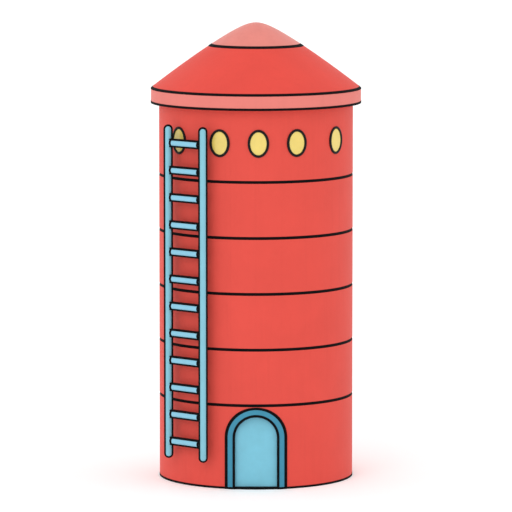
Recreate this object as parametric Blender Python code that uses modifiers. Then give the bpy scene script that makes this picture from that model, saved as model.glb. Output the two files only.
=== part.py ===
"""Storage silo: a round cast tower in six courses with a conical roof, a ring of oval windows,
a fixed ladder and an arched door that swings inward. Metres, +Z up, origin on the ground at the
middle of the tower, with the door facing -Y."""

import math

import bmesh
import bpy
from mathutils import Matrix, Vector

# Driving dimensions
GAP = 0.0003                 # between pieces that touch
ROUND = 72                   # sides of every large round piece

WALL_OUTER = 2.615           # radius
WALL_THICKNESS = 0.15
WALL_INNER = WALL_OUTER - WALL_THICKNESS
BASE_COURSE = 2.255          # height of the lowest course
COURSE = 1.492               # height of each of the plain courses above it
PLAIN_COURSES = 4
WALL_TOP = 10.30             # of the course with the windows

FLOOR_TOP = 0.05

DOOR_HALF = 0.583            # half the clear width
ARCH_CENTRE = 1.387          # height of the arch's centre
FRAME_BAND = 0.212           # width of the door frame's face
FRAME_PROUD = 0.03           # how far the frame stands out of the wall
LEAF_THICKNESS = 0.05
LEAF_FACE = 0.13 - WALL_OUTER    # Y of the leaf's outer face
LEAF_LAP = 0.03              # how far the leaf reaches behind the frame
LEAF_GAP = 0.014             # round the leaf's edge
STOP_GAP = 0.006             # between the leaf and the frame's stop
LEAF_BOTTOM = 0.06
HEAD_HALF = 0.95             # half the width of the wall block over the doorway

HINGE_AXIS = Vector((-0.66, LEAF_FACE + 0.142, 0.0))
HINGE_HEIGHTS = {"lower": 0.32, "upper": 1.18}
PIN_RADIUS = 0.010
PIN_CLEARANCE = 0.0005
EYE_RADIUS = 0.022
STRAP_HEIGHT = 0.06
STRAP_THICKNESS = 0.010
STRAP_LENGTH = 0.62
STRAP_LEG = (0.075, 0.10)    # X of the leg's two sides, from the hinge's axis
STRAP_ARM = (-0.008, 0.014)      # Y of the arm's two sides, from the hinge's axis
PLATE_TURN = math.radians(17.5)      # round the wall, the middle of the flat that carries a pintle's plate
PLATE_SPAN = (-0.035, 0.025)     # the plate's two sides, from that middle
PLATE_THICKNESS = 0.010
PLATE_DROP = 0.04            # how far the plate reaches under its lug
LUG_HEIGHT = 0.02
LUG_MARGIN = 0.016           # of the lug, past the pin's middle
PIN_DEPTH = 0.015            # of the pin in its lug
PIN_END = 0.012              # how far the pin stands out of the eye

FIRST_WINDOW = math.radians(1.4)     # round from the door, to its right
WINDOW_TURNS = (0.0, 23.0, 52.9, 127.1, 157.0, 180.0)    # degrees from the first, to either side
WINDOW_CENTRE = 9.25         # height
WINDOW_HALF = (0.284, 0.371)     # half width and half height over the frame
PANE_HALF = (0.222, 0.309)       # half width and half height of the glass that shows
WINDOW_BACK = WALL_OUTER - 0.025     # distance of the unit's back from the tower's axis
WINDOW_FRONT = WALL_OUTER + 0.030
PANE_RECESS = 0.018
OVAL_SIDES = 24

BEAM_OUTER = 2.838           # radius of the ring beam under the roof
BEAM_BOTTOM = 10.155
BEAM_TOP = 10.515

ROOF_APEX = 12.295
ROOF_TIP = 0.26              # roundness of the tip
ROOF_PITCH = 0.626
ROOF_BOW = 0.028             # how much the slope steepens outward
ROOF_THICKNESS = 0.12        # measured upright
CAP_RADIUS = 1.235
CAP_THICKNESS = 0.05
FILL_HOLE = 1.05             # radius of the hole that the cap closes

LADDER_AZIMUTH = math.radians(41.6)   # to the left of the door
LADDER_RADIUS = 2.82         # of the ladder's middle, from the tower's axis
LADDER_HALF = 0.6227         # half the distance between the rails' middles
RAIL_RADIUS = 0.0945
RAIL_BOTTOM = 0.745
RAIL_TOP = 9.655
RAIL_SIDES = 20
RUNG_RADIUS = 0.086
RUNG_SIDES = 14
RUNGS = 12
FIRST_RUNG = 1.188           # height
RUNG_PITCH = 0.7284
ALONG_X = Matrix.Rotation(math.pi / 2, 4, "Y")
BRACKET_RUNGS = (1, 4, 7, 10)    # counted from 0, the rungs that have a bracket behind them
BRACKET_HEIGHT = 0.08
BRACKET_STRAP = 0.02         # thickness of the strap on the wall
BRACKET_ARM = 0.045          # width of an arm
BRACKET_ROOT = WALL_OUTER + 0.015    # distance of an arm's root from the tower's axis
BRACKET_SPREAD = math.radians(8.6)    # round the wall, from the ladder's middle to an arm's root
BRACKET_MARGIN = math.radians(1.0)    # how far the strap runs on past an arm

RED = (0.84, 0.10, 0.078)
PINK = (0.84, 0.25, 0.21)
BLUE = (0.25, 0.58, 0.73)
TEAL = (0.065, 0.285, 0.38)
YELLOW = (0.93, 0.73, 0.205)
GREY = (0.30, 0.30, 0.30)
DARK = (0.03, 0.03, 0.03)


def collection(name):
    made = bpy.data.collections.new(name)
    bpy.context.scene.collection.children.link(made)
    return made


def finish(name, colour, roughness, metallic=0.0):
    made = bpy.data.materials.new(name)
    made.use_nodes = True
    shader = made.node_tree.nodes["Principled BSDF"]
    shader.inputs["Base Color"].default_value = (*colour, 1.0)
    shader.inputs["Roughness"].default_value = roughness
    shader.inputs["Metallic"].default_value = metallic
    return made


def from_bmesh(name, shape, where):
    mesh = bpy.data.meshes.new(name)
    shape.to_mesh(mesh)
    shape.free()
    made = bpy.data.objects.new(name, mesh)
    where.objects.link(made)
    return made


def turned(name, outline, where, closed=True, sides=ROUND):
    """A solid of revolution. The outline of (radius, height) points runs down its outer side."""
    shape = bmesh.new()
    points = [shape.verts.new((radius, 0.0, height)) for radius, height in outline]
    for first, second in zip(points, points[1:]):
        shape.edges.new((first, second))
    if closed:
        shape.edges.new((points[-1], points[0]))
    made = from_bmesh(name, shape, where)
    turn = made.modifiers.new("turn", "SCREW")
    turn.axis = "Z"
    turn.angle = math.tau
    turn.steps = turn.render_steps = sides
    turn.use_merge_vertices = True
    turn.merge_threshold = 0.0001
    return made


def ring(name, inner, outer, bottom, top, where):
    outline = [(outer, top), (outer, bottom), (inner, bottom), (inner, top)]
    return turned(name, outline, where)


def box(name, low, high, where):
    shape = bmesh.new()
    size = Vector(high) - Vector(low)
    middle = (Vector(high) + Vector(low)) / 2
    bmesh.ops.create_cube(shape, matrix=Matrix.Translation(middle) @ Matrix.Diagonal((*size, 1.0)))
    return from_bmesh(name, shape, where)


def cylinder(name, radius, bottom, top, sides, where, place=Matrix.Identity(4)):
    """A cylinder along Z from bottom to top, moved by place."""
    shape = bmesh.new()
    upright = place @ Matrix.Translation((0.0, 0.0, (bottom + top) / 2))
    bmesh.ops.create_cone(shape, cap_ends=True, segments=sides, radius1=radius, radius2=radius,
                          depth=top - bottom, matrix=upright)
    return from_bmesh(name, shape, where)


def arch_outline(half, bottom, steps=24):
    """An upright-sided outline with a half-round head, as (x, z) points."""
    turn = [math.pi * step / steps for step in range(steps + 1)]
    head = [(half * math.cos(angle), ARCH_CENTRE + half * math.sin(angle)) for angle in turn]
    return [(half, bottom), *head, (-half, bottom)]


def plate(name, outline, back, front, where):
    """A flat outline in X and Z, as thick as from Y back to Y front."""
    curve = bpy.data.curves.new(name, "CURVE")
    curve.dimensions = "2D"
    curve.fill_mode = "BOTH"
    curve.extrude = abs(front - back) / 2
    spline = curve.splines.new("POLY")
    spline.points.add(len(outline) - 1)
    for point, (x, z) in zip(spline.points, outline):
        point.co = (x, z, 0.0, 1.0)
    spline.use_cyclic_u = True
    drawn = bpy.data.objects.new(name, curve)
    where.objects.link(drawn)
    drawn.rotation_euler = (math.pi / 2, 0.0, 0.0)
    drawn.location = (0.0, (back + front) / 2, 0.0)
    return meshed(drawn, where)


def evaluated_mesh(drawn):
    bpy.context.view_layer.update()
    graph = bpy.context.evaluated_depsgraph_get()
    return bpy.data.meshes.new_from_object(drawn.evaluated_get(graph))


def meshed(drawn, where):
    """The drawn object as a plain closed mesh with its modifiers applied."""
    mesh = evaluated_mesh(drawn)
    shape = bmesh.new()
    shape.from_mesh(mesh)
    bmesh.ops.remove_doubles(shape, verts=shape.verts, dist=0.00001)
    bmesh.ops.recalc_face_normals(shape, faces=shape.faces)
    shape.to_mesh(mesh)
    shape.free()
    name, place = drawn.name, drawn.matrix_world.copy()
    bpy.data.objects.remove(drawn)
    made = bpy.data.objects.new(name, mesh)
    made.matrix_world = place
    where.objects.link(made)
    return made


def boolean(target, tool, operation):
    change = target.modifiers.new(tool.name, "BOOLEAN")
    change.operation = operation
    change.object = tool
    tool.hide_render = True
    tool.display_type = "WIRE"


def cut(target, *tools):
    for tool in tools:
        boolean(target, tool, "DIFFERENCE")


def keep(target, tool):
    boolean(target, tool, "INTERSECT")


def join(target, *tools):
    for tool in tools:
        boolean(target, tool, "UNION")


def dress(made, material, sharp=30.0):
    made.data.materials.clear()
    made.data.materials.append(material)
    made.data.shade_smooth()
    made.data.set_sharp_from_angle(angle=math.radians(sharp))
    return made


def repeated(name, mesh, where, parent=None, location=(0.0, 0.0, 0.0), turn=0.0):
    made = bpy.data.objects.new(name, mesh)
    made.parent = parent
    made.location = location
    made.rotation_euler = (0.0, 0.0, turn)
    where.objects.link(made)
    return made


def wall(silo, tools, red):
    levels = [BASE_COURSE + COURSE * step for step in range(PLAIN_COURSES + 1)]
    for number, (bottom, top) in enumerate(zip(levels, levels[1:]), start=2):
        course = ring(f"wall_course_{number}", WALL_INNER, WALL_OUTER, bottom + GAP, top, silo)
        dress(course, red)
    top_course = ring(f"wall_course_{PLAIN_COURSES + 2}", WALL_INNER, WALL_OUTER,
                      levels[-1] + GAP, WALL_TOP, silo)
    cut(top_course, window_openings(tools))
    dress(top_course, red)


def base_course(silo, tools, red):
    """The lowest course: a half on each side of the doorway and a block over it."""
    far = 2 * WALL_OUTER
    doorway = plate("doorway", arch_outline(DOOR_HALF + FRAME_BAND + GAP, -1.0), -far, -1.0, tools)
    block = box("head_block", (-HEAD_HALF, -far, ARCH_CENTRE), (HEAD_HALF, 0.0, far), tools)
    seat = box("head_seat", (-HEAD_HALF - GAP, -far, ARCH_CENTRE - GAP),
               (HEAD_HALF + GAP, 0.0, far), tools)
    for side, sign in (("left", -1.0), ("right", 1.0)):
        low = (min(sign * far, sign * GAP / 2), -far, -1.0)
        high = (max(sign * far, sign * GAP / 2), far, far)
        half = ring(f"wall_course_1_{side}", WALL_INNER, WALL_OUTER, 0.0, BASE_COURSE, silo)
        keep(half, box(f"{side}_half", low, high, tools))
        cut(half, seat, doorway)
        dress(half, red)
    head = ring("wall_course_1_head", WALL_INNER, WALL_OUTER, 0.0, BASE_COURSE, silo)
    keep(head, block)
    cut(head, doorway)
    dress(head, red)


def oval(name, half, back, front, where):
    """An upright oval block facing -Y, from back to front measured from the tower's axis."""
    flat = Matrix.Rotation(math.pi / 2, 4, "X")
    stretch = Matrix.Diagonal((half[0], 1.0, half[1], 1.0))
    return cylinder(name, 1.0, back, front, OVAL_SIDES, where, stretch @ flat)


def window_angles():
    """Each window's turn round the tower, from the front one on to its right."""
    right = [math.radians(turn) for turn in WINDOW_TURNS]
    left = [math.tau - turn for turn in reversed(right[1:-1])]
    return [FIRST_WINDOW + turn for turn in [*right, *left]]


def window_openings(tools):
    """One cutter with every window's opening."""
    opening = oval("opening", [size + GAP for size in WINDOW_HALF], 1.5, 3.5, tools)
    shape = bmesh.new()
    for angle in window_angles():
        copy = opening.data.copy()
        copy.transform(Matrix.Translation((0.0, 0.0, WINDOW_CENTRE)) @ Matrix.Rotation(angle, 4, "Z"))
        shape.from_mesh(copy)
        bpy.data.meshes.remove(copy)
    bpy.data.objects.remove(opening)
    return from_bmesh("window_openings", shape, tools)


def windows(silo, tools, yellow):
    unit = oval("window_unit", WINDOW_HALF, WINDOW_BACK, WINDOW_FRONT, tools)
    cut(unit, oval("pane_recess", PANE_HALF, WINDOW_FRONT - PANE_RECESS, WINDOW_FRONT + 1.0, tools))
    unit = meshed(unit, tools)
    dress(unit, yellow)
    for number, angle in enumerate(window_angles(), start=1):
        repeated(f"window_{number:02d}", unit.data, silo, None, (0.0, 0.0, WINDOW_CENTRE), angle)
    bpy.data.objects.remove(unit)


def floor(silo, grey):
    slab = [(0.0, FLOOR_TOP), (WALL_INNER - GAP, FLOOR_TOP), (WALL_INNER - GAP, 0.0), (0.0, 0.0)]
    dress(turned("floor_slab", slab, silo, closed=False), grey)


def doorway(silo, tools, teal, dark):
    """The frame that follows the wall's curve, and the sill between its feet."""
    far = 2 * WALL_OUTER
    outer = DOOR_HALF + FRAME_BAND
    frame = ring("door_frame", WALL_INNER, WALL_OUTER + FRAME_PROUD, 0.0, BASE_COURSE, silo)
    keep(frame, plate("frame_outline", arch_outline(outer, -1.0), -far, -1.0, tools))
    cut(frame, plate("frame_clear", arch_outline(DOOR_HALF, -2.0), -far, 0.0, tools))
    rebate = arch_outline(DOOR_HALF + LEAF_LAP + LEAF_GAP, FLOOR_TOP)
    cut(frame, plate("frame_rebate", rebate, LEAF_FACE - STOP_GAP, 0.0, tools))
    dress(frame, teal)

    half = DOOR_HALF - GAP
    sill = ring("door_sill", WALL_INNER, WALL_OUTER, 0.0, FLOOR_TOP, silo)
    keep(sill, box("sill_span", (-half, -far, -1.0), (half, 0.0, 1.0), tools))
    dress(sill, dark)


def door(silo, blue):
    leaf = plate("door_leaf", arch_outline(DOOR_HALF + LEAF_LAP, LEAF_BOTTOM),
                 LEAF_FACE, LEAF_FACE + LEAF_THICKNESS, silo)
    dress(leaf, blue)
    return leaf


def strap(name, height, silo, tools, blue):
    """A cranked strap on the leaf's inner face, with an eye round the hinge's pin."""
    axis = HINGE_AXIS
    low, high = height - STRAP_HEIGHT / 2, height + STRAP_HEIGHT / 2
    seat = LEAF_FACE + LEAF_THICKNESS + GAP
    leg_left, leg_right = [axis.x + side for side in STRAP_LEG]
    arm_low, arm_high = [axis.y + side for side in STRAP_ARM]
    place = Matrix.Translation(axis)
    eye = cylinder(name, EYE_RADIUS, low, high, 24, silo, place)
    join(eye,
         box(f"{name}_arm", (axis.x, arm_low, low), (leg_right, arm_high, high), tools),
         box(f"{name}_leg", (leg_left, seat, low), (leg_right, arm_high, high), tools),
         box(f"{name}_bar", (leg_left, seat, low),
             (leg_left + STRAP_LENGTH, seat + STRAP_THICKNESS, high), tools))
    cut(eye, cylinder(f"{name}_bore", PIN_RADIUS + PIN_CLEARANCE, low - 0.1, high + 0.1, 24, tools, place))
    dress(eye, blue)


def pintle(name, height, silo, tools, teal):
    """The hinge's upright pin on a lug, with a plate against the inside of the frame."""
    reach = WALL_INNER * math.cos(math.pi / ROUND) - GAP
    place = Matrix.Rotation(-PLATE_TURN, 4, "Z")
    lug_top = height - STRAP_HEIGHT / 2 - GAP
    lug_bottom = lug_top - LUG_HEIGHT
    pin = place.inverted() @ HINGE_AXIS
    left, right = PLATE_SPAN
    base = box(name, (left, -reach, lug_bottom - PLATE_DROP), (right, -reach + PLATE_THICKNESS, lug_top), silo)
    join(base,
         box(f"{name}_lug", (left, -reach, lug_bottom), (pin.x + LUG_MARGIN, pin.y + LUG_MARGIN, lug_top), tools),
         cylinder(f"{name}_pin", PIN_RADIUS, lug_top - PIN_DEPTH, height + STRAP_HEIGHT / 2 + PIN_END, 24,
                  tools, Matrix.Translation((pin.x, pin.y, 0.0))))
    for piece in (base, *[change.object for change in base.modifiers]):
        piece.matrix_world = place
    dress(base, teal)


def beam_and_roof(silo, red, pink):
    beam = [(BEAM_OUTER, BEAM_TOP), (BEAM_OUTER, BEAM_BOTTOM), (WALL_OUTER + GAP, BEAM_BOTTOM),
            (WALL_OUTER + GAP, WALL_TOP + GAP), (WALL_INNER, WALL_TOP + GAP), (WALL_INNER, BEAM_TOP)]
    dress(turned("ring_beam", beam, silo), pink)

    def surface(radius, drop=0.0):
        rounded = math.hypot(ROOF_TIP, ROOF_PITCH * radius) - ROOF_TIP
        return (radius, ROOF_APEX - rounded - ROOF_BOW * radius ** 2 - drop)

    def slope(first, last, steps, drop=0.0):
        return [surface(first + (last - first) * step / steps, drop) for step in range(steps + 1)]

    seat = BEAM_TOP + GAP
    slope_foot = next(radius / 1000 for radius in range(2000, 3000)
                      if surface(radius / 1000, ROOF_THICKNESS)[1] < seat)
    outer = slope(CAP_RADIUS + GAP, BEAM_OUTER, 4)
    inner = slope(slope_foot, FILL_HOLE, 3, ROOF_THICKNESS)
    lip = slope(FILL_HOLE, CAP_RADIUS + GAP, 1, CAP_THICKNESS + GAP)
    foot = [(BEAM_OUTER, seat), (slope_foot, seat)]
    dress(turned("roof_cone", [*outer, *foot, *inner[1:], *lip], silo), red)

    crown = [surface(radius) for radius in (0.0, 0.14, 0.30, 0.55, 0.90, CAP_RADIUS)]
    under = [surface(radius, CAP_THICKNESS) for radius in (CAP_RADIUS, FILL_HOLE, 0.35, 0.0)]
    dress(turned("roof_cap", [*crown, *under], silo, closed=False), pink)


def rail_mesh(tools):
    """A round-ended rail, on its own axis."""
    quarter = [math.pi / 2 * step / 4 for step in range(5)]
    top = [(RAIL_RADIUS * math.sin(a), RAIL_TOP - RAIL_RADIUS + RAIL_RADIUS * math.cos(a)) for a in quarter]
    bottom = [(radius, RAIL_BOTTOM + RAIL_TOP - height) for radius, height in reversed(top)]
    drawn = turned("rail", [*top, *bottom], tools, closed=False, sides=RAIL_SIDES)
    return meshed(drawn, tools)


def rail_cutter(name, x, tools):
    place = Matrix.Translation((x, 0.0, 0.0))
    return cylinder(name, RAIL_RADIUS + GAP, -1.0, 11.0, RAIL_SIDES, tools, place)


def ladder(silo, tools, blue):
    """Rails and rungs stand in the ladder's own frame: X along the rungs, -Y away from the wall."""
    stand = bpy.data.objects.new("ladder_stand", None)
    silo.objects.link(stand)
    stand.location = (-LADDER_RADIUS * math.sin(LADDER_AZIMUTH), -LADDER_RADIUS * math.cos(LADDER_AZIMUTH), 0.0)
    stand.rotation_euler = (0.0, 0.0, -LADDER_AZIMUTH)
    sides = {"left": -LADDER_HALF, "right": LADDER_HALF}

    rail = rail_mesh(tools)
    dress(rail, blue)
    for side, x in sides.items():
        repeated(f"ladder_rail_{side}", rail.data, silo, stand, (x, 0.0, 0.0))
    bpy.data.objects.remove(rail)

    rung = cylinder("rung", RUNG_RADIUS, -LADDER_HALF, LADDER_HALF, RUNG_SIDES, tools, ALONG_X)
    cut(rung, *[rail_cutter(f"rung_cope_{side}", x, tools) for side, x in sides.items()])
    rung = meshed(rung, tools)
    dress(rung, blue)
    for number in range(RUNGS):
        height = FIRST_RUNG + RUNG_PITCH * number
        repeated(f"ladder_rung_{number + 1:02d}", rung.data, silo, stand, (0.0, 0.0, height))
    bpy.data.objects.remove(rung)

    bracket = bracket_mesh(sides, tools)
    dress(bracket, blue)
    for number, step in enumerate(BRACKET_RUNGS, start=1):
        height = FIRST_RUNG + RUNG_PITCH * step
        repeated(f"ladder_bracket_{number}", bracket.data, silo, stand, (0.0, 0.0, height))
    bpy.data.objects.remove(bracket)


def bracket_mesh(sides, tools):
    """A strap that follows the wall, with an arm out to each rail, in line with a rung."""
    half = BRACKET_HEIGHT / 2
    strap = ring("bracket", WALL_OUTER + GAP, WALL_OUTER + GAP + BRACKET_STRAP, -half, half, tools)
    strap.data.transform(Matrix.Rotation(LADDER_AZIMUTH, 4, "Z"))    # flats in line with the wall's
    keep(strap, sector(BRACKET_SPREAD + BRACKET_MARGIN, tools))
    join(strap, *[bracket_arm(side, x, half * 0.75, tools) for side, x in sides.items()])
    away = Matrix.Translation((0.0, -LADDER_RADIUS, 0.0))
    neighbours = [rail_cutter(f"bracket_cope_{side}", x, tools) for side, x in sides.items()]
    neighbours.append(cylinder("bracket_rung", RUNG_RADIUS + GAP, -LADDER_HALF, LADDER_HALF, RUNG_SIDES,
                               tools, ALONG_X))
    for tool in neighbours:
        tool.data.transform(away)
    cut(strap, *neighbours)
    made = meshed(strap, tools)
    made.data.transform(away.inverted())
    return made


def bracket_arm(side, x, half, tools):
    """An arm from the wall, inside the ladder's width, out to a rail."""
    turn = math.copysign(BRACKET_SPREAD, x)
    root = Vector((BRACKET_ROOT * math.sin(turn), -BRACKET_ROOT * math.cos(turn), 0.0))
    way = Vector((x, -LADDER_RADIUS, 0.0)) - root
    arm = box(f"bracket_arm_{side}", (-BRACKET_ARM / 2, -way.length, -half), (BRACKET_ARM / 2, 0.0, half), tools)
    lean = Matrix.Rotation(math.atan2(way.x, -way.y), 4, "Z")
    arm.data.transform(Matrix.Translation(root) @ lean)
    return arm


def sector(spread, tools):
    """A wedge of the space round the tower's axis, facing -Y, to either side by the spread."""
    reach = 2 * WALL_OUTER
    x, y = reach * math.sin(spread), -reach * math.cos(spread)
    wedge = bmesh.new()
    face = wedge.faces.new([wedge.verts.new(point) for point in ((0.0, 0.0, -1.0), (-x, y, -1.0), (x, y, -1.0))])
    raised = bmesh.ops.extrude_face_region(wedge, geom=[face])["geom"]
    corners = [part for part in raised if isinstance(part, bmesh.types.BMVert)]
    bmesh.ops.translate(wedge, vec=(0.0, 0.0, 2.0), verts=corners)
    bmesh.ops.recalc_face_normals(wedge, faces=wedge.faces)
    return from_bmesh("bracket_sector", wedge, tools)


def main():
    for old in list(bpy.data.objects):
        bpy.data.objects.remove(old)
    silo = collection("storage_silo")
    tools = collection("cutters")
    red = finish("red_paint", RED, 0.55)
    pink = finish("pink_paint", PINK, 0.55)
    blue = finish("blue_paint", BLUE, 0.40)
    teal = finish("teal_paint", TEAL, 0.40)
    yellow = finish("yellow_glass", YELLOW, 0.15)
    grey = finish("concrete", GREY, 0.85)
    dark = finish("dark_sill", DARK, 0.70)

    floor(silo, grey)
    base_course(silo, tools, red)
    wall(silo, tools, red)
    windows(silo, tools, yellow)
    beam_and_roof(silo, red, pink)
    doorway(silo, tools, teal, dark)
    door(silo, blue)
    for place, height in HINGE_HEIGHTS.items():
        strap(f"door_strap_{place}", height, silo, tools, blue)
        pintle(f"door_pintle_{place}", height, silo, tools, teal)
    ladder(silo, tools, blue)
    for tool in tools.objects:
        tool.hide_render = True
        tool.display_type = "WIRE"


main()
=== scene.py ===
"""Looks of the storage silo: painted cast concrete rings with dark sealed joints, a pink ring beam
and cap, oval windows of yellow glass whose flat yellow is also painted light from a lit interior, a pale blue
steel ladder and an arched steel door."""

import math

import bmesh
import bpy
from mathutils import Matrix, Vector


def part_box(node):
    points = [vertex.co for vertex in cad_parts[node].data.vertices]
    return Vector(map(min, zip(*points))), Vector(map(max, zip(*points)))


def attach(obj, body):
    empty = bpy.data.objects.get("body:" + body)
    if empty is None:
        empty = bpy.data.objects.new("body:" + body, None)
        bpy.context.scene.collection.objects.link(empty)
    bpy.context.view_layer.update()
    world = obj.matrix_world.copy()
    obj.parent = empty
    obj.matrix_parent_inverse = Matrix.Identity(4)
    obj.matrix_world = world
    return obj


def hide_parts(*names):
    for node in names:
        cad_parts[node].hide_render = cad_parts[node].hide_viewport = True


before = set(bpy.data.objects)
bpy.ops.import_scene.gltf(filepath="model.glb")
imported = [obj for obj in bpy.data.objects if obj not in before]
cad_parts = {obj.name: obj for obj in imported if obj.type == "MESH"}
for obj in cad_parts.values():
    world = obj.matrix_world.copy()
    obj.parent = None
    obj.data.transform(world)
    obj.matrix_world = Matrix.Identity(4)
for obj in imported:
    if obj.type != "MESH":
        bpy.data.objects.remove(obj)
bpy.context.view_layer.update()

# Sizes read from the frame
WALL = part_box("wall_course_3")[1].x
WALL_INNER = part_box("floor_slab")[1].x
SEAMS = [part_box(f"wall_course_{number}")[0].z for number in range(2, 7)]
WALL_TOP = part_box("wall_course_6")[1].z
FLOOR_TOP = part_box("floor_slab")[1].z
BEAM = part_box("ring_beam")[1].x
BEAM_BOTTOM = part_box("ring_beam")[0].z
BEAM_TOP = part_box("ring_beam")[1].z
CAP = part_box("roof_cap")[1].x
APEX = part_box("roof_cap")[1].z
FRAME_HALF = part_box("door_frame")[1].x
FRAME_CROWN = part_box("door_frame")[1].z
LEAF_LOW, LEAF_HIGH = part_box("door_leaf")
WINDOWS = sorted(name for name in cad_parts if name.startswith("window_"))
WINDOW_LOW, WINDOW_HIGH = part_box(WINDOWS[0])

# Sizes of the finish, in metres
SIDES = 240                  # of the large round pieces
LINE = 0.078                 # width of every dark joint and edge strip
JOINT_DEPTH = 0.014
SHUTTERS = 24                # upright joints round the wall
TIE_PITCH = 0.746            # height from one row of tie plugs to the next
TIE_RADIUS = 0.014
FOOT_HEIGHT = 0.058          # of the dark strip round the foot
FRAME_BAND = 0.212           # width of the door frame's face
FRAME_PROUD = 0.03
REBATE_WIDTH = 0.044
NOSE_IN = 0.026              # how far the inner door seal reaches over the opening, and over the frame
NOSE_OUT = 0.043
STOP_FACE = LEAF_LOW.y - 0.006
WINDOW_HALF = 0.284          # half a window's width
WINDOW_BACK = WALL - 0.025   # distances from the tower's axis
WINDOW_FRONT = WALL + 0.030
PANE_MARGIN = 0.066          # from a window's outer edge to its visible glass
PANE_RECESS = 0.018
ROOF_TIP = 0.26
ROOF_PITCH = 0.626
ROOF_BOW = 0.028
ROOF_THICKNESS = 0.12
CAP_THICKNESS = 0.05
FILL_HOLE = 1.05
RUNG_RADIUS = (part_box("ladder_rung_01")[1].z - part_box("ladder_rung_01")[0].z) / 2
SLEEVE_LENGTH = 0.075        # of the black sleeve at each end of a rung
SLEEVE_WALL = 0.005
GUARD_WIDTH = 0.105          # of the black rubber strips along the rails and rungs
GUARD_PROUD = 0.030
GUARD_ROUNDING = 0.006
STRAP_FACE = WALL + 0.0165   # distance of a ladder bracket's strap from the tower's axis
LEAF_STRAP_THICKNESS = 0.0103

DOOR_HALF = FRAME_HALF - FRAME_BAND
ARCH_CENTRE = FRAME_CROWN - FRAME_HALF

# Colours, linear
RED = (0.699, 0.0733, 0.0545)
ROOF_RED = (0.710, 0.0622, 0.0445)
PINK = (0.737, 0.2003, 0.1708)
CAP_PINK = (0.703, 0.2048, 0.1700)
RAIL_BLUE = (0.210, 0.505, 0.614)
RUNG_BLUE = (0.230, 0.530, 0.690)
DOOR_BLUE = (0.178, 0.512, 0.647)
TEAL = (0.033, 0.238, 0.364)
# The panes' colour: yellow glass, plus painted light standing in for a lit interior behind it
YELLOW = (0.778, 0.600, 0.140)
BLACK = (0.0025, 0.0025, 0.003)
ZINC = (0.30, 0.31, 0.32)
CONCRETE = (0.34, 0.33, 0.31)


def add(tree, kind, inputs=None, **settings):
    """A shader node with its settings, and its inputs by name or number as values or sockets."""
    made = tree.nodes.new(kind)
    for name, value in settings.items():
        setattr(made, name, value)
    for name, value in (inputs or {}).items():
        if isinstance(value, bpy.types.NodeSocket):
            tree.links.new(value, made.inputs[name])
        else:
            made.inputs[name].default_value = value
    return made


def start_material(name, roughness, **constants):
    made = bpy.data.materials.new(name)
    made.use_nodes = True
    tree = made.node_tree
    shader = tree.nodes["Principled BSDF"]
    shader.inputs["Roughness"].default_value = roughness
    for socket, value in constants.items():
        shader.inputs[socket.replace("_", " ")].default_value = value
    place = add(tree, "ShaderNodeTexCoord").outputs["Object"]
    return made, tree, shader, place


def noise(tree, place, scale, detail=3.0, roughness=0.5):
    inputs = {"Vector": place, "Scale": scale, "Detail": detail, "Roughness": roughness}
    return add(tree, "ShaderNodeTexNoise", inputs).outputs["Fac"]


def spread(tree, value, low, high, from_low=0.3, from_high=0.7):
    """A texture's value stretched over a new range."""
    inputs = {"Value": value, "From Min": from_low, "From Max": from_high, "To Min": low, "To Max": high}
    return add(tree, "ShaderNodeMapRange", inputs).outputs["Result"]


def mix(tree, share, first, second):
    made = add(tree, "ShaderNodeMix", data_type="RGBA")
    for socket, value in zip((made.inputs[0], made.inputs[6], made.inputs[7]), (share, first, second)):
        if isinstance(value, bpy.types.NodeSocket):
            tree.links.new(value, socket)
        else:
            socket.default_value = value
    return made.outputs[2]


def shade(colour, factor):
    return (*[min(1.0, part * factor) for part in colour], 1.0)


def bump(tree, height, distance, strength=1.0, below=None):
    inputs = {"Height": height, "Distance": distance, "Strength": strength}
    if below is not None:
        inputs["Normal"] = below
    return add(tree, "ShaderNodeBump", inputs).outputs["Normal"]


def sum_of(tree, operation, first, second):
    return add(tree, "ShaderNodeMath", {0: first, 1: second}, operation=operation).outputs[0]


def shutter_marks(tree, place):
    """What the shutters leave on cast concrete: upright joints, and plugs where the ties went through."""
    around = add(tree, "ShaderNodeTexGradient", {"Vector": place}, gradient_type="RADIAL").outputs["Fac"]
    height = add(tree, "ShaderNodeSeparateXYZ", {"Vector": place}).outputs["Z"]
    from_joint = sum_of(tree, "PINGPONG", sum_of(tree, "MULTIPLY", around, SHUTTERS), 0.5)
    joints = spread(tree, from_joint, 0.0, 1.0, 0.0, 0.008)
    across = sum_of(tree, "MULTIPLY", sum_of(tree, "SUBTRACT", from_joint, 0.25), math.tau * WALL / SHUTTERS)
    up = sum_of(tree, "SUBTRACT", sum_of(tree, "PINGPONG", height, TIE_PITCH), TIE_PITCH / 2)
    flat = add(tree, "ShaderNodeCombineXYZ", {"X": across, "Y": up}).outputs["Vector"]
    away = add(tree, "ShaderNodeVectorMath", {0: flat}, operation="LENGTH").outputs["Value"]
    plugs = spread(tree, away, 0.0, 1.0, TIE_RADIUS - 0.002, TIE_RADIUS)
    return sum_of(tree, "MINIMUM", joints, plugs)


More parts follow.
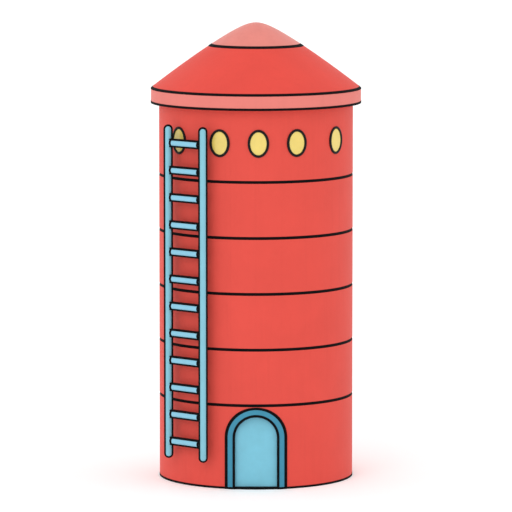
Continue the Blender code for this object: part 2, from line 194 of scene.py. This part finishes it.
def masonry_paint(name, colour, marks=False):
    """Matte paint rolled over cast concrete: faint clouds, a roller's stipple and soft waves."""
    made, tree, shader, place = start_material(name, 0.6, Specular_IOR_Level=0.2)
    clouds = noise(tree, place, 0.9, 4.0, 0.6)
    tone = mix(tree, spread(tree, clouds, 0.0, 1.0), shade(colour, 0.965), shade(colour, 1.03))
    stretched = add(tree, "ShaderNodeMapping", {"Vector": place, "Scale": (7.0, 7.0, 0.35)}).outputs["Vector"]
    streaks = spread(tree, noise(tree, stretched, 1.0, 3.0, 0.6), 0.0, 0.35, 0.52, 0.80)
    tone = mix(tree, streaks, tone, shade(colour, 0.90))
    tree.links.new(tone, shader.inputs["Base Color"])
    stipple = noise(tree, place, 320.0, 2.0)
    tree.links.new(spread(tree, stipple, 0.52, 0.68), shader.inputs["Roughness"])
    waves = bump(tree, noise(tree, place, 2.2, 2.0), 0.006)
    if marks:
        waves = bump(tree, shutter_marks(tree, place), 0.0025, 0.9, waves)
    grain = bump(tree, noise(tree, place, 60.0, 3.0), 0.0016, 0.8, waves)
    tree.links.new(bump(tree, stipple, 0.0005, 0.8, grain), shader.inputs["Normal"])
    return made


def steel_paint(name, colour, roughness=0.38, specular=0.35, grip=False):
    """Satin paint on steel, with a faint orange peel, and with raised dimples where feet go."""
    made, tree, shader, place = start_material(name, roughness, Specular_IOR_Level=specular)
    clouds = noise(tree, place, 3.0, 3.0, 0.6)
    tone = mix(tree, spread(tree, clouds, 0.0, 1.0), shade(colour, 0.96), shade(colour, 1.04))
    tree.links.new(tone, shader.inputs["Base Color"])
    rubbed = spread(tree, noise(tree, place, 14.0, 4.0, 0.65), roughness - 0.05, roughness + 0.08)
    tree.links.new(rubbed, shader.inputs["Roughness"])
    peel = bump(tree, noise(tree, place, 380.0, 2.0), 0.0004, 0.5)
    if grip:
        dimples = add(tree, "ShaderNodeTexVoronoi", {"Vector": place, "Scale": 90.0}).outputs["Distance"]
        peel = bump(tree, spread(tree, dimples, 1.0, 0.0, 0.05, 0.45), 0.0012, 0.8, peel)
    tree.links.new(peel, shader.inputs["Normal"])
    return made


def rubber(name):
    made, tree, shader, place = start_material(name, 0.8, Specular_IOR_Level=0.08)
    dust = spread(tree, noise(tree, place, 9.0, 4.0, 0.7), 0.0, 1.0, 0.45, 0.85)
    tree.links.new(mix(tree, dust, shade(BLACK, 1.0), shade(BLACK, 2.0)), shader.inputs["Base Color"])
    fine = noise(tree, place, 240.0, 2.0)
    tree.links.new(spread(tree, fine, 0.70, 0.90), shader.inputs["Roughness"])
    tree.links.new(bump(tree, fine, 0.0006, 0.6), shader.inputs["Normal"])
    return made


def yellow_glass_painted_lit(name):
    # Opaque yellow panes: the flat yellow is painted light from a lit interior, laid over yellow glass
    made, tree, shader, place = start_material(name, 0.16, Coat_Weight=0.3, Coat_Roughness=0.05)
    clouds = noise(tree, place, 5.0, 2.0)
    tone = mix(tree, spread(tree, clouds, 0.0, 1.0), shade(YELLOW, 0.96), shade(YELLOW, 1.03))
    tree.links.new(tone, shader.inputs["Base Color"])
    tree.links.new(spread(tree, clouds, 0.12, 0.20), shader.inputs["Roughness"])
    tree.links.new(bump(tree, noise(tree, place, 11.0, 1.0), 0.002, 0.4), shader.inputs["Normal"])
    return made


def bare_concrete(name, colour):
    made, tree, shader, place = start_material(name, 0.85, Specular_IOR_Level=0.3)
    clouds = noise(tree, place, 1.6, 6.0, 0.65)
    tone = mix(tree, spread(tree, clouds, 0.0, 1.0), shade(colour, 0.82), shade(colour, 1.15))
    sand = noise(tree, place, 160.0, 3.0, 0.7)
    tone = mix(tree, spread(tree, sand, 0.0, 0.35), tone, shade(colour, 0.6))
    tree.links.new(tone, shader.inputs["Base Color"])
    pores = add(tree, "ShaderNodeTexVoronoi", {"Vector": place, "Scale": 45.0}).outputs["Distance"]
    pits = spread(tree, pores, 0.0, 1.0, 0.05, 0.18)
    rough = bump(tree, sand, 0.0012, 0.8)
    tree.links.new(bump(tree, pits, 0.0015, 0.6, rough), shader.inputs["Normal"])
    return made


def floor_material():
    made, tree, shader, place = start_material("studio_floor", 0.9, Specular_IOR_Level=0.0)
    tone = mix(tree, noise(tree, place, 0.2), (0.945, 0.945, 0.945, 1.0), (0.955, 0.955, 0.955, 1.0))
    tree.links.new(tone, shader.inputs["Base Color"])
    shader.inputs["Emission Color"].default_value = (1.0, 1.0, 1.0, 1.0)
    shader.inputs["Emission Strength"].default_value = 0.10
    return made


LOOKS = {
    "wall": masonry_paint("wall_paint", RED, marks=True),
    "roof": masonry_paint("roof_paint", ROOF_RED),
    "beam": masonry_paint("beam_paint", PINK),
    "cap": steel_paint("cap_paint", CAP_PINK, 0.45),
    "rail": steel_paint("rail_paint", RAIL_BLUE),
    "rung": steel_paint("rung_paint", RUNG_BLUE, grip=True),
    "door": steel_paint("door_paint", DOOR_BLUE),
    "frame": steel_paint("frame_paint", TEAL),
    "seal": rubber("black_seal"),
    "trim": steel_paint("black_trim", BLACK, 0.40, 0.18),
    "zinc": steel_paint("zinc_bolts", ZINC, 0.42, 0.5),
    # The panes' yellow is partly painted light from a lit interior
    "glass": yellow_glass_painted_lit("yellow_glass_painted_lit"),
    "floor": bare_concrete("floor_concrete", CONCRETE),
    "inside": bare_concrete("inside_concrete", shade(CONCRETE, 1.35)[:3]),
}


def piece(name, shape, look, body="root", replaces=(), sharp=35.0):
    """A shown piece made from a bmesh, smooth where its faces meet at less than the sharp angle."""
    mesh = bpy.data.meshes.new(name)
    bmesh.ops.recalc_face_normals(shape, faces=shape.faces)
    shape.to_mesh(mesh)
    shape.free()
    made = bpy.data.objects.new(name, mesh)
    bpy.context.scene.collection.objects.link(made)
    mesh.materials.append(LOOKS[look])
    mesh.shade_smooth()
    mesh.set_sharp_from_angle(angle=math.radians(sharp))
    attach(made, body)
    if replaces:
        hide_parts(*replaces)
    return made


def soften(made, width, segments=2, angle=35.0):
    """Rounds a piece's edges."""
    edge = made.modifiers.new("edges", "BEVEL")
    edge.width = width
    edge.segments = segments
    edge.limit_method = "ANGLE"
    edge.angle_limit = math.radians(angle)
    edge.harden_normals = True
    return made


def skin(shape, rings, loop_path=False):
    """Adds a closed skin through rings of points. An open path gets a flat face at each end."""
    rows = [[shape.verts.new(point) for point in ring] for ring in rings]
    pairs = list(zip(rows, rows[1:]))
    if loop_path:
        pairs.append((rows[-1], rows[0]))
    for first, second in pairs:
        for index in range(len(first)):
            after = (index + 1) % len(first)
            shape.faces.new((first[index], first[after], second[after], second[index]))
    if not loop_path:
        shape.faces.new(rows[0])
        shape.faces.new(reversed(rows[-1]))
    return shape


def lofted(rings, loop_path=False):
    return skin(bmesh.new(), rings, loop_path)


def facing(origin, out):
    """A frame at the origin whose Z axis points out."""
    return Matrix.Translation(origin) @ out.to_track_quat("Z", "Y").to_matrix().to_4x4()


def add_turned(shape, place, outline, sides):
    """Adds a solid turned about the place's Z axis, from an outline of (radius, height) points."""
    turns = [math.tau * step / sides for step in range(sides)]
    skin(shape, [[place @ Vector((radius * math.cos(turn), radius * math.sin(turn), height)) for turn in turns]
                 for radius, height in outline])


def hex_bolts(name, places, radius, look="zinc", body="root"):
    """Hexagon heads on washers, each on a place whose Z axis points out of the surface."""
    shape = bmesh.new()
    washer, height = radius * 0.2, radius * 0.75
    for place in places:
        add_turned(shape, place, [(radius * 1.1, 0.0), (radius * 1.1, washer)], 28)
        add_turned(shape, place, [(radius, washer), (radius, washer + height * 0.85),
                                  (radius * 0.88, washer + height)], 6)
    return piece(name, shape, look, body=body)


def dome_screws(name, places, radius, look, body="root"):
    shape = bmesh.new()
    outline = [(radius * math.cos(math.radians(turn)), radius * 0.5 * math.sin(math.radians(turn)))
               for turn in (0, 25, 50, 75)]
    for place in places:
        add_turned(shape, place, outline, 14)
    return piece(name, shape, look, body=body, sharp=60.0)


def turned(outline, sides=SIDES, first=0.0, last=math.tau, axis=Vector((0.0, 0.0, 0.0))):
    """A closed outline of (radius, height) points turned about an upright axis."""
    whole = last - first > math.tau - 0.001
    count = sides if whole else sides + 1
    rings = []
    for step in range(count):
        angle = first + (last - first) * step / sides
        rings.append([axis + Vector((radius * math.cos(angle), radius * math.sin(angle), height))
                      for radius, height in outline])
    return lofted(rings, loop_path=whole)


def turned_to_axis(outline, sides=SIDES, axis=Vector((0.0, 0.0, 0.0))):
    """An outline that starts and ends on the axis, turned into one solid."""
    shape = turned(outline, sides, axis=axis)
    bmesh.ops.remove_doubles(shape, verts=shape.verts, dist=0.00001)
    return shape


def roof_surface(radius, drop=0.0):
    rounded = math.hypot(ROOF_TIP, ROOF_PITCH * radius) - ROOF_TIP
    return (radius, APEX - rounded - ROOF_BOW * radius ** 2 - drop)


def roof_slope(first, last, steps, drop=0.0):
    return [roof_surface(first + (last - first) * step / steps, drop) for step in range(steps + 1)]


def roof_place(radius, angle, lift):
    """A frame over the roof's surface, its Z axis square to the slope."""
    step = 0.001
    height, lower = roof_surface(radius, -lift)[1], roof_surface(radius + step, -lift)[1]
    out = Vector((height - lower, 0.0, step)).normalized()
    return Matrix.Rotation(angle, 4, "Z") @ facing(Vector((radius, 0.0, height)), out)


def line_inside(made, radius):
    """Gives the faces on the inner side of a round piece the bare concrete."""
    made.data.materials.append(LOOKS["inside"])
    for face in made.data.polygons:
        if all(made.data.vertices[index].co.xy.length < radius for index in face.vertices):
            face.material_index = 1


def cut(made, tool_shape, name):
    """Cuts a shape out of a piece for good."""
    mesh = bpy.data.meshes.new(name)
    bmesh.ops.recalc_face_normals(tool_shape, faces=tool_shape.faces)
    tool_shape.to_mesh(mesh)
    tool_shape.free()
    tool = bpy.data.objects.new(name, mesh)
    bpy.context.scene.collection.objects.link(tool)
    change = made.modifiers.new(name, "BOOLEAN")
    change.operation = "DIFFERENCE"
    change.object = tool
    bpy.context.view_layer.update()
    graph = bpy.context.evaluated_depsgraph_get()
    result = bpy.data.meshes.new_from_object(made.evaluated_get(graph))
    made.modifiers.remove(change)
    made.data = result
    result.set_sharp_from_angle(angle=math.radians(35.0))
    bpy.data.objects.remove(tool)


def course_outline(bottom, top, rebate_bottom=True, rebate_top=True):
    """A wall ring's section, set back at its joints."""
    half, back = LINE / 2, WALL - JOINT_DEPTH
    outline = [(back, top), (back, top - half), (WALL, top - half)] if rebate_top else [(WALL, top)]
    outline += [(WALL, bottom + half), (back, bottom + half), (back, bottom)] if rebate_bottom \
        else [(WALL, bottom)]
    return [*outline, (WALL_INNER, bottom), (WALL_INNER, top)]


def walls():
    base = piece("base_course", turned(course_outline(0.0, SEAMS[0], rebate_bottom=False)), "wall",
                 replaces=("wall_course_1_left", "wall_course_1_right", "wall_course_1_head"))
    cut(base, doorway_block(), "doorway_cut")
    line_inside(soften(base, 0.006), WALL_INNER + 0.01)
    for number, (bottom, top) in enumerate(zip(SEAMS, SEAMS[1:]), start=2):
        ring = piece(f"course_{number}", turned(course_outline(bottom, top)), "wall",
                     replaces=(f"wall_course_{number}",))
        line_inside(soften(ring, 0.006), WALL_INNER + 0.01)
    top_ring = piece("course_6", turned(course_outline(SEAMS[-1], WALL_TOP, rebate_top=False)), "wall",
                     replaces=("wall_course_6",))
    cut(top_ring, window_blocks(), "window_cut")
    line_inside(soften(top_ring, 0.006), WALL_INNER + 0.01)


def doorway_block():
    """The doorway's shape, as far as the outside of the door frame."""
    margin = FRAME_BAND - 0.002
    outline = [(x + nx * margin, z + nz * margin) for x, z, nx, nz in arch_path(-1.0)]
    rings = [[Vector((x, y, z)) for x, z in outline] for y in (-WALL - 1.0, -1.0)]
    return lofted(rings)


def oval(half_width, half_height, steps=72):
    """Points of an upright oval, each with its outward direction."""
    found = []
    for step in range(steps):
        angle = math.tau * step / steps
        x, z = half_width * math.cos(angle), half_height * math.sin(angle)
        out = Vector((half_height * math.cos(angle), half_width * math.sin(angle))).normalized()
        found.append((x, z, out.x, out.y))
    return found


def window_size():
    """Half the width, half the height, and the height of the middle."""
    return WINDOW_HALF, (WINDOW_HIGH.z - WINDOW_LOW.z) / 2, (WINDOW_HIGH.z + WINDOW_LOW.z) / 2


def window_turn(name):
    """A window's place round the tower, as a turn from the front."""
    low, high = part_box(name)
    return Matrix.Rotation(math.atan2(low.x + high.x, -low.y - high.y), 4, "Z")


def window_blocks():
    """Every window's opening, for the cut."""
    half_width, half_height, height = window_size()
    block = bmesh.new()
    for name in WINDOWS:
        turn = window_turn(name)
        points = oval(half_width - 0.004, half_height - 0.004)
        rings = [[turn @ Vector((x, y, height + z)) for x, z, _, _ in points] for y in (-3.5, -1.5)]
        one = lofted(rings)
        mesh = bpy.data.meshes.new("one_opening")
        one.to_mesh(mesh)
        one.free()
        block.from_mesh(mesh)
        bpy.data.meshes.remove(mesh)
    return block


def joint_seals():
    """A tooled bead of dark sealant in each joint between two courses."""
    half, back, face = LINE / 2 - 0.001, WALL - JOINT_DEPTH - 0.001, WALL - 0.004
    hollow = [(face - 0.004 * math.sin(math.pi * step / 6), half - 2 * half * step / 6) for step in range(7)]
    for number, height in enumerate(SEAMS, start=1):
        outline = [(radius, height + z) for radius, z in [(back, half), *hollow, (back, -half)]]
        piece(f"joint_seal_{number}", turned(outline), "seal")


def foot_strip():
    """The dark bitumen strip round the foot of the wall, and on the feet of the door frame."""
    front = -math.pi / 2
    edge = math.asin((FRAME_HALF + LINE / 2 + 0.001) / WALL)
    face = WALL + FRAME_PROUD
    inner, outer = math.asin((DOOR_HALF + NOSE_OUT) / face), math.asin((FRAME_HALF - LINE / 2) / face)
    spans = {"wall": (WALL, SIDES, edge, math.tau - edge), "left": (face, 8, -outer, -inner),
             "right": (face, 8, inner, outer)}
    for name, (radius, sides, first, last) in spans.items():
        outline = [(radius + 0.005, FOOT_HEIGHT), (radius + 0.007, 0.002), (radius - 0.002, 0.002),
                   (radius - 0.002, FOOT_HEIGHT)]
        soften(piece(f"foot_strip_{name}", turned(outline, sides, front + first, front + last), "seal"), 0.002)


def arch_path(bottom, margin=0.0, steps=72, legs=10):
    """Points of the doorway's clear edge, right foot to left foot, each with its outward direction."""
    found = []
    reach = DOOR_HALF + margin
    for step in range(legs):
        found.append((reach, bottom + (ARCH_CENTRE - bottom) * step / legs, 1.0, 0.0))
    for step in range(steps + 1):
        angle = math.pi * step / steps
        x, z = math.cos(angle), math.sin(angle)
        found.append((reach * x, ARCH_CENTRE + reach * z, x, z))
    for step in range(legs):
        found.append((-reach, ARCH_CENTRE + (bottom - ARCH_CENTRE) * (step + 1) / legs, -1.0, 0.0))
    return found


def on_wall(radius):
    return lambda x: -math.sqrt(radius ** 2 - x ** 2)


def on_plane(y):
    return lambda x: y


def arch_band(section, bottom, trim=0.0):
    """A section of (offset outward, depth) points carried round the doorway's clear edge.

    The trim narrows what lies beyond the frame, and only at the crown, where the lowest joint is close."""
    rings = []
    for x, z, nx, nz in arch_path(bottom):
        ring = []
        for offset, depth in section:
            cut_back = trim * max(0.0, nz) ** 6 if offset > FRAME_BAND else 0.0
            across = x + nx * (offset - cut_back)
            ring.append(Vector((across, depth(across), z + nz * (offset - cut_back))))
        rings.append(ring)
    return lofted(rings)


def door_surround():
    face = WALL + FRAME_PROUD
    inner = WALL_INNER + 0.0003
    frame_section = [(0.0, on_wall(face)), (FRAME_BAND, on_wall(face)), (FRAME_BAND, on_wall(inner)),
                     (REBATE_WIDTH, on_wall(inner)), (REBATE_WIDTH, on_plane(STOP_FACE)),
                     (0.0, on_plane(STOP_FACE))]
    band = piece("door_surround", arch_band(frame_section, 0.0), "frame",
                 replaces=("door_frame",))
    soften(band, 0.005)

    half = LINE / 2
    outer = [(FRAME_BAND - half, on_wall(face + 0.004)), (FRAME_BAND + half * 0.6, on_wall(face + 0.004)),
             (FRAME_BAND + half, on_wall(WALL + 0.012)), (FRAME_BAND + half, on_wall(WALL - 0.004)),
             (FRAME_BAND - half, on_wall(WALL - 0.004))]
    soften(piece("surround_outer_seal", arch_band(outer, 0.002, trim=0.015), "seal"), 0.004)

    nose = [(-NOSE_IN, on_wall(face + 0.001)), (0.012 - NOSE_IN, on_wall(face + 0.006)),
            (NOSE_OUT, on_wall(face + 0.006)), (NOSE_OUT, on_wall(face - 0.010)),
            (-NOSE_IN, on_wall(face - 0.014))]
    soften(piece("surround_inner_seal", arch_band(nose, 0.002), "seal"), 0.003)


def door_leaf():
    lap = LEAF_HIGH.x - DOOR_HALF
    outer, inner = LEAF_LOW.y, LEAF_HIGH.y
    path = arch_path(LEAF_LOW.z, lap)
    rings = [[Vector((x, y, z)) for x, z, _, _ in path] for y in (outer, inner)]
    leaf = piece("leaf_panel", lofted(rings), "door", body="door", replaces=("door_leaf",))
    soften(leaf, 0.004, 3)
    leaf_back(inner)


def leaf_back(inner):
    """Stiffeners on the leaf's inner side, and the bolts through the hinge straps."""
    across = (-0.46, 0.50)
    profile = [(-0.032, 0.0), (-0.018, 0.024), (0.018, 0.024), (0.032, 0.0)]
    for number, height in enumerate((0.75, 1.55), start=1):
        rings = [[Vector((x, inner + depth, height + z)) for z, depth in profile] for x in across]
        soften(piece(f"leaf_stiffener_{number}", lofted(rings), "door", body="door"), 0.003)
    places = []
    for side in ("lower", "upper"):
        low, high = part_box(f"door_strap_{side}")
        places += [facing(Vector((high.x - 0.04 - 0.16 * step, inner + LEAF_STRAP_THICKNESS,
                                  (low.z + high.z) / 2)), Vector((0.0, 1.0, 0.0))) for step in range(4)]
    hex_bolts("leaf_bolts", places, 0.0135, body="door")


def windows():
    half_width, half_height, height = window_size()
    back, front = WINDOW_BACK, WINDOW_FRONT
    section = [(0.0, back), (0.0, front - 0.012), (-0.004, front - 0.007), (-0.018, front - 0.005),
               (-0.024, front), (-PANE_MARGIN + 0.022, front), (-PANE_MARGIN + 0.014, front - 0.006),
               (-PANE_MARGIN + 0.004, front - 0.007), (-PANE_MARGIN, front - 0.012), (-PANE_MARGIN, back)]
    screws = []
    for name in WINDOWS:
        turn = window_turn(name)
        label = name.removeprefix("window_")
        rings = [[turn @ Vector((x + nx * offset, -distance, height + z + nz * offset))
                  for offset, distance in section] for x, z, nx, nz in oval(half_width, half_height)]
        soften(piece(f"window_frame_{label}", lofted(rings, loop_path=True), "trim",
                     replaces=(name,), sharp=25.0), 0.0015, 2, 25.0)
        piece(f"window_pane_{label}",
              pane_shape(half_width - PANE_MARGIN + 0.004, half_height - PANE_MARGIN + 0.004, height,
                         back + 0.006, front - PANE_RECESS, turn), "glass")
        screws += [turn @ facing(Vector((x - nx * PANE_MARGIN / 2, -front, height + z - nz * PANE_MARGIN / 2)),
                                 Vector((0.0, -1.0, 0.0))) for x, z, nx, nz in oval(half_width, half_height, 10)]
    dome_screws("window_screws", screws, 0.008, "trim")


def pane_shape(half_width, half_height, height, back, front, turn, crown=0.007):
    """A closed oval pane whose outer side is slightly domed."""
    shape = bmesh.new()
    shares = (1.0, 0.9, 0.7, 0.45, 0.2)
    points = oval(half_width, half_height)
    rows = [[shape.verts.new(turn @ Vector((x, -back, height + z))) for x, z, _, _ in points]]
    for share in shares:
        distance = front - crown + crown * math.sqrt(max(0.0, 1.0 - share ** 2))
        rows.append([shape.verts.new(turn @ Vector((x * share, -distance, height + z * share)))
                     for x, z, _, _ in points])
    middle = shape.verts.new(turn @ Vector((0.0, -front, height)))
    for first, second in zip(rows, rows[1:]):
        for index in range(len(points)):
            after = (index + 1) % len(points)
            shape.faces.new((first[index], first[after], second[after], second[index]))
    shape.faces.new(rows[0])
    for index in range(len(points)):
        shape.faces.new((rows[-1][index], rows[-1][(index + 1) % len(points)], middle))
    return shape


def beam_and_roof():
    recess = 0.007
    eave = roof_surface(BEAM)[1]
    band = [(BEAM - recess, BEAM_TOP), (BEAM - recess, BEAM_BOTTOM), (WALL + 0.0003, BEAM_BOTTOM),
            (WALL + 0.0003, WALL_TOP + 0.0003), (WALL_INNER, WALL_TOP + 0.0003), (WALL_INNER, BEAM_TOP)]
    beam = piece("beam_band", turned(band), "beam", replaces=("ring_beam",))
    line_inside(soften(beam, 0.004), WALL_INNER + 0.01)
    above, below = 0.044, 0.021
    drip = [(BEAM, BEAM_BOTTOM + above), (BEAM, BEAM_BOTTOM - below), (BEAM - 0.05, BEAM_BOTTOM - below),
            (BEAM - 0.05, BEAM_BOTTOM - 0.001), (BEAM - recess - 0.001, BEAM_BOTTOM - 0.001),
            (BEAM - recess - 0.001, BEAM_BOTTOM + above)]
    soften(piece("drip_strip", turned(drip), "seal"), 0.004)

    seat = BEAM_TOP + 0.0003
    slope_foot = next(step / 1000 for step in range(2000, 3000)
                      if roof_surface(step / 1000, ROOF_THICKNESS)[1] < seat)
    outline = [*roof_slope(CAP + 0.0003, BEAM - recess, 28), (BEAM - recess, seat), (slope_foot, seat),
               *roof_slope(slope_foot, FILL_HOLE, 8, ROOF_THICKNESS)[1:],
               *roof_slope(FILL_HOLE, CAP + 0.0003, 4, CAP_THICKNESS + 0.0003)]
    cone = piece("roof_shell", turned(outline), "roof", replaces=("roof_cone",))
    line_inside(cone, BEAM - 0.2)
    for face in cone.data.polygons:
        if face.normal.z > 0.1:
            face.material_index = 0

    wrap, drop = 0.056, 0.018
    top = [(BEAM - wrap, roof_surface(BEAM - wrap, -0.006)[1]), (BEAM - 0.003, eave + 0.004), (BEAM, eave - 0.002),
           (BEAM, eave - drop), (BEAM - recess - 0.001, eave - drop),
           (BEAM - recess - 0.001, roof_surface(BEAM - recess, 0.001)[1]),
           (BEAM - wrap, roof_surface(BEAM - wrap, 0.001)[1])]
    soften(piece("eave_strip", turned(top), "seal"), 0.003)

    inward, outward = 0.043, 0.051
    crown = roof_slope(0.0, CAP, 30)
    under = roof_slope(CAP, 0.0, 12, CAP_THICKNESS)
    cap = piece("cap_shell", turned_to_axis([*crown, *under]), "cap", replaces=("roof_cap",))
    soften(cap, 0.003)
    skirt = [*roof_slope(CAP - inward, CAP + outward, 6, -0.006),
             *roof_slope(CAP + outward, CAP - inward, 6, 0.001)]
    soften(piece("cap_skirt", turned(skirt), "seal"), 0.003)
    dome_screws("cap_screws", [roof_place(CAP + outward / 2, math.tau * step / 32, 0.006) for step in range(32)],
                0.013, "trim")


def ladder():
    rails = {}
    for side in ("left", "right"):
        low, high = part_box(f"ladder_rail_{side}")
        centre, radius = (low + high) / 2, (high.x - low.x) / 2
        rails[side] = Vector((centre.x, centre.y, 0.0))
        quarter = [math.pi / 2 * step / 10 for step in range(11)]
        top = [(radius * math.sin(a), high.z - radius + radius * math.cos(a)) for a in quarter]
        bottom = [(r, low.z + high.z - z) for r, z in reversed(top)]
        piece(f"rail_{side}", turned_to_axis([*top, *bottom], 48, rails[side]), "rail",
              replaces=(f"ladder_rail_{side}",), sharp=60.0)
        rail_guard(side, rails[side], low.z + radius, high.z - radius, radius)
    along = (rails["right"] - rails["left"]).normalized()
    out = Vector((along.y, -along.x, 0.0))
    middle = (rails["left"] + rails["right"]) / 2
    half = (rails["right"] - rails["left"]).length / 2
    for number in range(1, 13):
        low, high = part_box(f"ladder_rung_{number:02d}")
        rung_middle = middle + Vector((0.0, 0.0, (low.z + high.z) / 2))
        rung(number, rung_middle, along, out, half, radius)
    azimuth = math.atan2(middle.x, -middle.y)
    places = []
    for number in range(1, 5):
        name = f"ladder_bracket_{number}"
        dress(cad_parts[name], "rail", 0.004)
        height = (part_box(name)[0].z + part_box(name)[1].z) / 2
        for turn in (-5.4, -1.8, 1.8, 5.4):
            angle = azimuth + math.radians(turn)
            radial = Vector((math.sin(angle), -math.cos(angle), 0.0))
            places.append(facing(radial * STRAP_FACE + Vector((0.0, 0.0, height)), radial))
    hex_bolts("bracket_bolts", places, 0.0175)


def guard_section(radius):
    """A black strip's section on a round bar, as (distance from the bar's axis, place across) points."""
    half, outer = GUARD_WIDTH / 2, radius + GUARD_PROUD
    inner = math.sqrt(radius ** 2 - half ** 2) - 0.001
    shoulder, corner = outer - GUARD_ROUNDING, half - GUARD_ROUNDING
    return [(inner, -half), (shoulder, -half), (outer, -corner), (outer, corner), (shoulder, half), (inner, half)]


def rail_guard(side, axis, low, high, radius, steps=24):
    """A black rubber strip lengthwise round a rail: up one side, over its end and down the other."""
    rings = []
    for middle, first in ((high, 0.0), (low, math.pi)):
        for step in range(steps + 1):
            angle = first + math.pi * step / steps
            rings.append([axis + Vector((distance * math.cos(angle), across, middle + distance * math.sin(angle)))
                          for distance, across in guard_section(radius)])
    piece(f"rail_guard_{side}", lofted(rings, loop_path=True), "seal", sharp=50.0)
    screws = [facing(axis + Vector((way * (radius + GUARD_PROUD), 0.0, low + (high - low) * (step + 0.5) / 15)),
                     Vector((way, 0.0, 0.0))) for way in (-1.0, 1.0) for step in range(15)]
    dome_screws(f"rail_guard_screws_{side}", screws, 0.011, "trim")


def rung(number, middle, along, out, half, rail_radius, steps=40):
    """A rung coped to both rails, with a black sleeve at each end and a grip strip above and below."""
    turns = [math.tau * step / steps for step in range(steps)]
    up = Vector((0.0, 0.0, 1.0))

    def bar(radius):
        return [(radius * math.cos(turn), radius * math.sin(turn)) for turn in turns]

    def coped(sign, section, inset=-0.002):
        """The end of a section of (depth, height) points, on the rail's round surface."""
        points = []
        for depth, height in section:
            reach = half - math.sqrt(rail_radius ** 2 - depth ** 2) - inset
            points.append(middle + out * depth + up * height + along * (sign * reach))
        return points

    def square(sign, radius, inset):
        """A ring round the bar, some way in from the rail."""
        centre = middle + along * (sign * (half - rail_radius - inset))
        return [centre + out * depth + up * height for depth, height in bar(radius)]

    piece(f"rung_{number:02d}", lofted([coped(sign, bar(RUNG_RADIUS)) for sign in (-1.0, 1.0)]), "rung",
          replaces=(f"ladder_rung_{number:02d}",))
    for label, flip in (("above", 1.0), ("below", -1.0)):
        strip = [(across, flip * distance) for distance, across in guard_section(RUNG_RADIUS)]
        piece(f"rung_{number:02d}_grip_{label}", lofted([coped(sign, strip) for sign in (-1.0, 1.0)]), "seal",
              sharp=50.0)
    sleeve, bore = RUNG_RADIUS + SLEEVE_WALL, RUNG_RADIUS - 0.001
    for label, sign in (("left", -1.0), ("right", 1.0)):
        section = [(bore, 0.0), (sleeve, 0.0), (sleeve, SLEEVE_LENGTH - 0.004), (sleeve - 0.003, SLEEVE_LENGTH),
                   (bore, SLEEVE_LENGTH)]
        rings = [square(sign, radius, inset) for radius, inset in section]
        piece(f"rung_{number:02d}_sleeve_{label}", lofted(rings, loop_path=True), "seal")
        bead = [(-0.004, RUNG_RADIUS - 0.001), (-0.003, RUNG_RADIUS + 0.003), (0.001, RUNG_RADIUS + 0.0035),
                (0.005, RUNG_RADIUS + 0.002), (0.006, RUNG_RADIUS - 0.001)]
        rings = [coped(sign, bar(radius), inset) for inset, radius in bead]
        piece(f"rung_{number:02d}_weld_{label}", lofted(rings, loop_path=True), "rail", sharp=80.0)


def dress(node, look, edge=0.0):
    """A CAD node with a finish and softened edges."""
    node.data.materials.clear()
    node.data.materials.append(LOOKS[look])
    weld = node.modifiers.new("weld", "WELD")
    weld.merge_threshold = 0.00005
    if edge:
        soften(node, edge)


def kept_nodes():
    dress(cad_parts["floor_slab"], "floor")
    dress(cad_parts["door_sill"], "seal", 0.004)
    for place in ("upper", "lower"):
        dress(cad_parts[f"door_strap_{place}"], "door", 0.001)
        dress(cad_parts[f"door_pintle_{place}"], "frame", 0.001)


def studio():
    shape = bmesh.new()
    bmesh.ops.create_circle(shape, cap_ends=True, segments=96, radius=600.0)
    mesh = bpy.data.meshes.new("studio_floor")
    shape.to_mesh(mesh)
    shape.free()
    floor = bpy.data.objects.new("studio_floor", mesh)
    bpy.context.scene.collection.objects.link(floor)
    floor.location.z = -0.001
    mesh.materials.append(floor_material())

    world = bpy.data.worlds.new("studio")
    world.use_nodes = True
    world.node_tree.nodes["Background"].inputs["Color"].default_value = (1.0, 1.0, 1.0, 1.0)
    world.node_tree.nodes["Background"].inputs["Strength"].default_value = 1.04
    bpy.context.scene.world = world

    light = bpy.data.lights.new("key", "SUN")
    light.energy = 0.4
    light.angle = math.radians(35.0)
    key = bpy.data.objects.new("key", light)
    bpy.context.scene.collection.objects.link(key)
    key.rotation_euler = (math.radians(52.0), 0.0, math.radians(-24.0))

    bpy.context.scene.view_settings.view_transform = "Standard"


def camera():
    distance, elevation, height = 124.4, math.radians(6.61), 5.964
    data = bpy.data.cameras.new("camera")
    data.lens = 323.2
    data.sensor_width = 36.0
    data.clip_end = 2000.0
    made = bpy.data.objects.new("camera", data)
    bpy.context.scene.collection.objects.link(made)
    made.location = (0.0, -distance * math.cos(elevation), height + distance * math.sin(elevation))
    made.rotation_euler = (math.pi / 2 - elevation, 0.0, 0.0)
    bpy.context.scene.camera = made


def main():
    camera()
    studio()
    walls()
    joint_seals()
    foot_strip()
    windows()
    beam_and_roof()
    door_surround()
    door_leaf()
    ladder()
    kept_nodes()


main()
